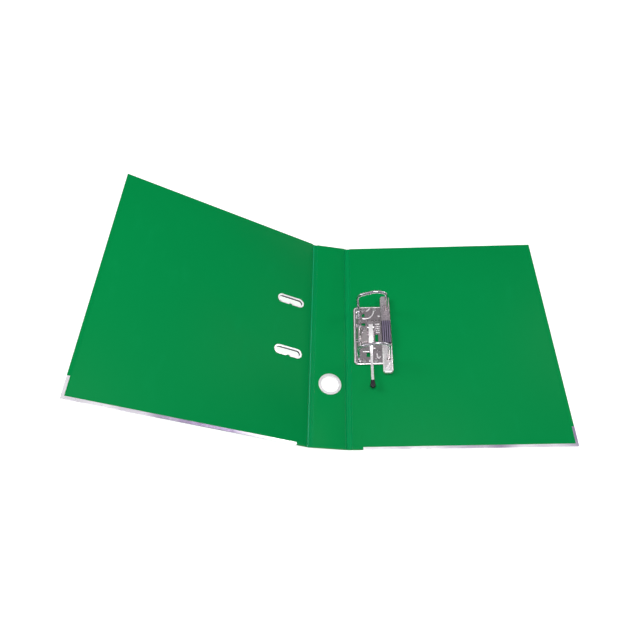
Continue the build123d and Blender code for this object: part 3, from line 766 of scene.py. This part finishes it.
def fold_sheet(name, near, far, near_u, half_outline, material, crumple=0.0,
               crest=False):
    """A sheet from foot to top across a fold.

    half_outline is one side of its section: from the fold's middle out along its top and
    back along its underside, as distance from the fold line and height."""
    def place(panel_matrix, u, w):
        return panel_matrix @ Vector((u, 0, w))

    right = [place(near, near_u + d, w) for d, w in half_outline]
    left = [place(far, -d, w) for d, w in half_outline]
    top, under = half_outline[0][1], half_outline[-1][1]
    middle = [(place(near, near_u, w) + place(far, 0, w)) / 2 for w in (top, under)]
    ring = [middle[0], *right[1:-1], middle[1], *reversed(left[1:-1])]
    shape = bmesh.new()
    outline = shape.faces.new([shape.verts.new((p.x, FOOT + FOLD_END, p.z)) for p in ring])
    pushed = bmesh.ops.extrude_face_region(shape, geom=[outline])
    bmesh.ops.translate(shape, vec=(0, HEIGHT - 2 * FOLD_END, 0),
                        verts=[v for v in pushed["geom"] if isinstance(v, bmesh.types.BMVert)])
    for step in range(1, SLICES):
        slice_across(shape, FOOT + HEIGHT * step / SLICES)
    for step in range(1, FOOT_SLICES + 1):
        slice_across(shape, FOOT + FOOT_PITCH * step)
    for vert in shape.verts:
        rise = max(0.0, 1 - (vert.co.y - FOOT) / CRUMPLE_REACH) * crumple
        spot = Vector((vert.co.x * CRUMPLE_U, vert.co.y * CRUMPLE_V, CRUMPLE_SEED))
        vert.co.z += rise * noise.noise(spot)
    bmesh.ops.recalc_face_normals(shape, faces=shape.faces)
    piece = new_piece(name, shape)
    piece.data.materials.append(material)
    # Upward-facing faces on the ridge's crest take the lighter foil: a painted highlight.
    if crest:
        piece.data.materials.append(crest_highlight_foil)
        for face in piece.data.polygons:
            out = -(far.inverted() @ face.center).x
            if abs(out - RIDGE) < RIDGE_HALF_WIDTH and face.normal.z > FACES_UP:
                face.material_index = 1
    place(near, near_u + BEND_REACH, 0)
    place(far, -BEND_REACH, 0)
    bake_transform(piece)
    return piece


print("a fold is sliced into", SLICES, "lengths")

# %% [markdown]
# Half of each section is enough, because a fold is the same on both sides. The liner's goes
# along the channel's floor, over a low ridge, up the board's edge and a little way onto the
# panel, then back underneath. The outer foil's is nearly flat, with a slight dent.

# %% The folds' sections
DIP = 0.00105
EDGE = WRAP_START
FLOOR = INNER - DIP
LINER_SECTION = [
    (0, FLOOR), (0.0009, FLOOR), (0.0013, FLOOR + 0.00005), (0.0016, FLOOR + 0.00020),
    (RIDGE, FLOOR + 0.00028), (0.0022, FLOOR + 0.00020), (0.0025, FLOOR + 0.00003),
    (0.0029, FLOOR - 0.00010), (0.0034, FLOOR - 0.00006),
    (0.0038, INNER - 0.00078), (0.0041, INNER - 0.00046), (EDGE - 0.00002, INNER - 0.00024),
    (EDGE + 0.0003, INNER - 0.00008), (EDGE + 0.0009, INNER - 0.00002),
    (EDGE + 0.0009, INNER - 0.00012), (EDGE + 0.0003, INNER - 0.0003),
    (EDGE - 0.00002, INNER - 0.0006), (0.0040, INNER - 0.00092), (0.0036, INNER - 0.00122),
    (0.0028, FLOOR - 0.00040), (0.0010, FLOOR - 0.0003), (0, FLOOR - 0.0003),
]
FOIL_SECTION = [
    (0, SKIN_T), (0.0010, SKIN_T), (0.0020, SKIN_T + 0.00002), (0.0030, SKIN_T + 0.0001),
    (EDGE - 0.00002, SKIN_T + 0.0003), (EDGE - 0.00002, OUTER), (0.0036, OUTER + 0.00008),
    (0.0028, OUTER + 0.00012), (0.0020, OUTER + 0.00006), (0.0010, OUTER), (0, OUTER),
]
print("the channel is", round(2 * EDGE * 1000, 1), "mm wide and", DIP * 1000, "mm deep")

# %% [markdown]
# The front fold works harder, because every opening bends it. Its loose end is more
# crumpled, and the crest of its ridge is a much lighter, glossier green: a painted
# highlight, a thin line of light along it.

# %% The two folds
for side, near, far, near_u, bodies, crumple in (
    ("back", BACK, SPINE, 0.0, ("back_cover", "spine"), 0.0003),
    ("front", SPINE, FRONT, -SPINE_PITCH, ("spine", "front_cover"), 0.0008),
):
    fold_sheet(side + "_fold_liner", near, far, near_u, LINER_SECTION, foil_pressed,
               crumple, side == "front")
    foil = fold_sheet(side + "_fold_foil", near, far, near_u, FOIL_SECTION, foil_pressed)
    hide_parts(side + "_hinge_web")
print("folds made")

# %% [markdown]
# ## Pressed details of the base plate
#
# A thin plate is stiffened by beads: shallow ridges pushed up by the press, which are what
# catch the light on a real mechanism. Each one is a round bar laid on a path and then
# squashed, so that half of it is sunk in the plate.

# %% A bead along a path
PLATE_LOW, PLATE_HIGH = (Vector(corner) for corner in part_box("base_plate"))
PLATE_H = 0.0022
PLATE_TOP = PLATE_LOW.z + PLATE_H
PLATE_MIDDLE = (PLATE_LOW + PLATE_HIGH) / 2


def bead(into, path, radius=0.0009, rise=0.6, closed=False):
    """Adds a squashed bar along points on the plate's top to a bmesh."""
    curve = bpy.data.curves.new("bead_path", "CURVE")
    curve.dimensions, curve.bevel_depth, curve.bevel_resolution = "3D", radius, 3
    curve.use_fill_caps, curve.resolution_u = not closed, 6
    spline = curve.splines.new("POLY" if closed else "NURBS")
    spline.points.add(len(path) - 1)
    for point, (x, y) in zip(spline.points, path):
        point.co = (x, y, 0, 1)
    spline.use_cyclic_u = closed
    if not closed:
        spline.order_u, spline.use_endpoint_u = 3, True
    holder = bpy.data.objects.new("bead_path", curve)
    bpy.context.scene.collection.objects.link(holder)
    bpy.context.view_layer.update()
    graph = bpy.context.evaluated_depsgraph_get()
    mesh = bpy.data.meshes.new_from_object(holder.evaluated_get(graph))
    mesh.transform(Matrix.Translation((0, 0, PLATE_TOP)) @ Matrix.Diagonal((1, 1, rise, 1)))
    into.from_mesh(mesh)
    bpy.data.objects.remove(holder)
    bpy.data.curves.remove(curve)
    bpy.data.meshes.remove(mesh)


def dome(into, x, y, radius=0.0015, rise=0.45):
    """Adds a squashed ball, half sunk in the plate's top, to a bmesh."""
    bmesh.ops.create_uvsphere(into, u_segments=20, v_segments=12, radius=radius,
                              matrix=Matrix.Translation((x, y, PLATE_TOP))
                              @ Matrix.Diagonal((1, 1, rise, 1)))


print("the plate's middle is", [round(c, 4) for c in PLATE_MIDDLE])

# %% [markdown]
# Curved beads stiffen the plate round its windows and between the rivets, five short ribs
# stand between the lever and the bar, and pips dot the flat between them. Their places
# are in millimetres from the plate's low corner, as a press drawing would give them.

# %% Beads, ribs and pips
MM = 1000
RIBS, RIB_FIRST_Y, RIB_PITCH, RIB_X = 5, 49.6, 3.3, (30.9, 33.5, 36.1)


def on_plate(x, y):
    """A point in metres, from millimetres across and along the plate."""
    return PLATE_LOW.x + x / MM, PLATE_LOW.y + y / MM


pressed = bmesh.new()
for path in (
    [(12.4, 72.8), (18.0, 72.6), (22.9, 73.8), (26.6, 77.5), (28.5, 82.4), (29.0, 85.0)],
    [(5.0, 78.9), (5.2, 74.9), (6.2, 71.8), (8.8, 71.0)],
    [(23.4, 89.3), (21.2, 86.0), (18.1, 85.2)],
    [(31.2, 16.4), (31.3, 11.1), (33.6, 8.8), (36.0, 11.8)],
    [(4.8, 18.8), (5.0, 13.8), (7.0, 10.4)],
    [(12.4, 19.8), (16.8, 19.5), (20.8, 19.8)],
):
    bead(pressed, [on_plate(x, y) for x, y in path])
for rib in range(RIBS):
    bead(pressed, [on_plate(x, RIB_FIRST_Y + rib * RIB_PITCH) for x in RIB_X],
         radius=0.00085, rise=0.9)
for x, y in ((28.1, 24.9), (21.4, 5.4), (4.9, 83.9), (35.9, 76.4), (8.4, 5.6)):
    dome(pressed, *on_plate(x, y))
print("beads, ribs and pips:", len(pressed.faces), "faces")

# %% [markdown]
# A last bead runs round the rim. Its path is the outline of one flat face with its four
# corners bevelled, which is less work than writing out the points of four arcs.

# %% The rim's bead
RIM_INSET, RIM_CORNER = 0.0017, 0.0043
rim = bmesh.new()
bmesh.ops.create_grid(rim, x_segments=1, y_segments=1, size=0.5)
bmesh.ops.scale(rim, verts=rim.verts, vec=(PLATE_HIGH.x - PLATE_LOW.x - 2 * RIM_INSET,
                                           PLATE_HIGH.y - PLATE_LOW.y - 2 * RIM_INSET, 1))
bmesh.ops.translate(rim, verts=rim.verts, vec=(PLATE_MIDDLE.x, PLATE_MIDDLE.y, 0))
bmesh.ops.bevel(rim, geom=rim.verts[:], offset=RIM_CORNER, segments=8, profile=0.5,
                affect="VERTICES", material=-1)
outline = max(rim.faces, key=lambda face: face.calc_area())
bead(pressed, [(v.co.x, v.co.y) for v in outline.verts], radius=0.0007, rise=0.55, closed=True)
rim.free()
bmesh.ops.remove_doubles(pressed, verts=pressed.verts, dist=1e-7)
bmesh.ops.recalc_face_normals(pressed, faces=pressed.faces)
print("with the rim's bead:", len(pressed.faces), "faces")
# The beads take the brighter, less metallic lever finish instead of the plate's own: a painted
# highlight along them.
finish(new_piece("plate_beads", pressed), "back_cover", lever_nickel, "nickel")

# %% [markdown]
# ## The compressor bar's pressed lips
#
# Each hole over a post has a turned-up lip, which keeps the bar from scraping the post. A
# lip starts as a circle of edges, which is drawn up into a band and given a thickness.

# %% Lips
LIP_R, LIP_RISE, LIP_SUNK, LIP_T = 0.0027, 0.0007, 0.0012, 0.0005
lips = bmesh.new()
for post in ("post_upper", "post_lower"):
    low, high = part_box(post)
    x, y = (low[0] + high[0]) / 2, (low[1] + high[1]) / 2
    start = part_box("compressor_bar")[1][2] - LIP_SUNK
    bmesh.ops.create_circle(lips, segments=48, radius=LIP_R,
                            matrix=Matrix.Translation((x, y, start)))
rings = bmesh.ops.extrude_edge_only(lips, edges=lips.edges[:])
raised = [v for v in rings["geom"] if isinstance(v, bmesh.types.BMVert)]
bmesh.ops.translate(lips, verts=raised, vec=(0, 0, LIP_RISE))
lip_piece = new_piece("bar_lips", lips)
wall = lip_piece.modifiers.new("sheet", "SOLIDIFY")
wall.thickness, wall.offset = LIP_T, 0.0
soften(finish(lip_piece, "compressor", nickel, "nickel"), 0.00015)
print("pressed details made")

# %% [markdown]
# ## Floor, light and camera
#
# A plain pale floor, as for a catalogue. It glows a little of its own, so that it shows
# white through the slots and the ring, where the covers keep the lamps' light off it.

# %% Floor
FLOOR_HALF, FLOOR_DROP, FLOOR_GLOW = 4.0, 0.0002, 0.88
floor_shape = bmesh.new()
bmesh.ops.create_grid(floor_shape, x_segments=1, y_segments=1, size=FLOOR_HALF)
bmesh.ops.translate(floor_shape, verts=floor_shape.verts, vec=(0, 0, -FLOOR_DROP))
floor = new_piece("floor", floor_shape)
floor_paint = Shader("floor_paint", Roughness=0.9, Emission_Color=(1, 1, 1, 1),
                     Emission_Strength=FLOOR_GLOW)
floor_paint.link("Base Color", floor_paint.mix(floor_paint.noise(3, 2.0), rgb(168, 168, 168),
                                               rgb(170, 170, 170)))
floor.data.materials.append(floor_paint.material)
print("floor is", 2 * FLOOR_HALF, "m wide")

# %% [markdown]
# Three large soft lights: one overhead and towards the viewer, and a weaker one on each
# side. The Standard view keeps this strong green as it is, where the default view would
# wash it out.

# %% Lights
def soft_light(name, at, aim, size, power):
    """A round lamp that faces a point."""
    lamp = bpy.data.lights.new(name, "AREA")
    lamp.shape, lamp.size, lamp.energy = "DISK", size, power
    light = bpy.data.objects.new(name, lamp)
    light.location = at
    light.rotation_euler = (Vector(aim) - Vector(at)).to_track_quat("-Z", "Y").to_euler()
    bpy.context.scene.collection.objects.link(light)


soft_light("overhead", (0.0, -0.5, 1.8), (0, 0, 0), size=0.9, power=18.5)
soft_light("left", (-1.5, 0.4, 1.2), (0, 0, 0.05), size=0.8, power=11.5)
soft_light("right", (1.5, 0.7, 1.1), (0.05, 0, 0), size=0.7, power=8)
bpy.context.scene.view_settings.view_transform = "Standard"
print("lights:", len(bpy.data.lights))

# %% [markdown]
# The room is brighter overhead than at the walls. Plated metal needs that: with the same
# white all round, a mirror looks like white paint.

# %% Room
world = bpy.data.worlds.new("studio")
world.use_nodes = True
room = Wiring(world.node_tree)
direction = room.node("ShaderNodeTexCoord", output="Generated")
height = room.node("ShaderNodeSeparateXYZ", None, {"Vector": direction}, "Z")
ROOM_GREYS = ((0.2, 0.03), (0.6, 0.20), (1.0, 0.55))        # height and grey
COOLER = 1.02
stops = [(at, (grey, grey, grey * COOLER, 1)) for at, grey in ROOM_GREYS]
walls = room.node("ShaderNodeValToRGB", {"stops": stops}, {"Fac": height}, "Color")
room.tree.links.new(walls.socket, room.tree.nodes["Background"].inputs["Color"])
bpy.context.scene.world = world
print("room greys:", len(stops))

# %% [markdown]
# The camera stands over the foot of the file and looks down and along it, as a person at a
# desk would. Depth of field is off, so every edge is sharp.

# %% Camera
lens = bpy.data.cameras.new("camera")
lens.lens, lens.sensor_width = 30.94, 36.0
lens.shift_x, lens.shift_y = -0.038, -0.0153
lens.clip_start = 0.01
camera = bpy.data.objects.new("camera", lens)
camera.location = (0.007675, -0.388899, 0.655301)
camera.rotation_euler = (0.587, 0.030, -0.007)
bpy.context.scene.collection.objects.link(camera)
bpy.context.scene.camera = camera
print("camera", round(camera.location.length, 3), "m from the file's middle")
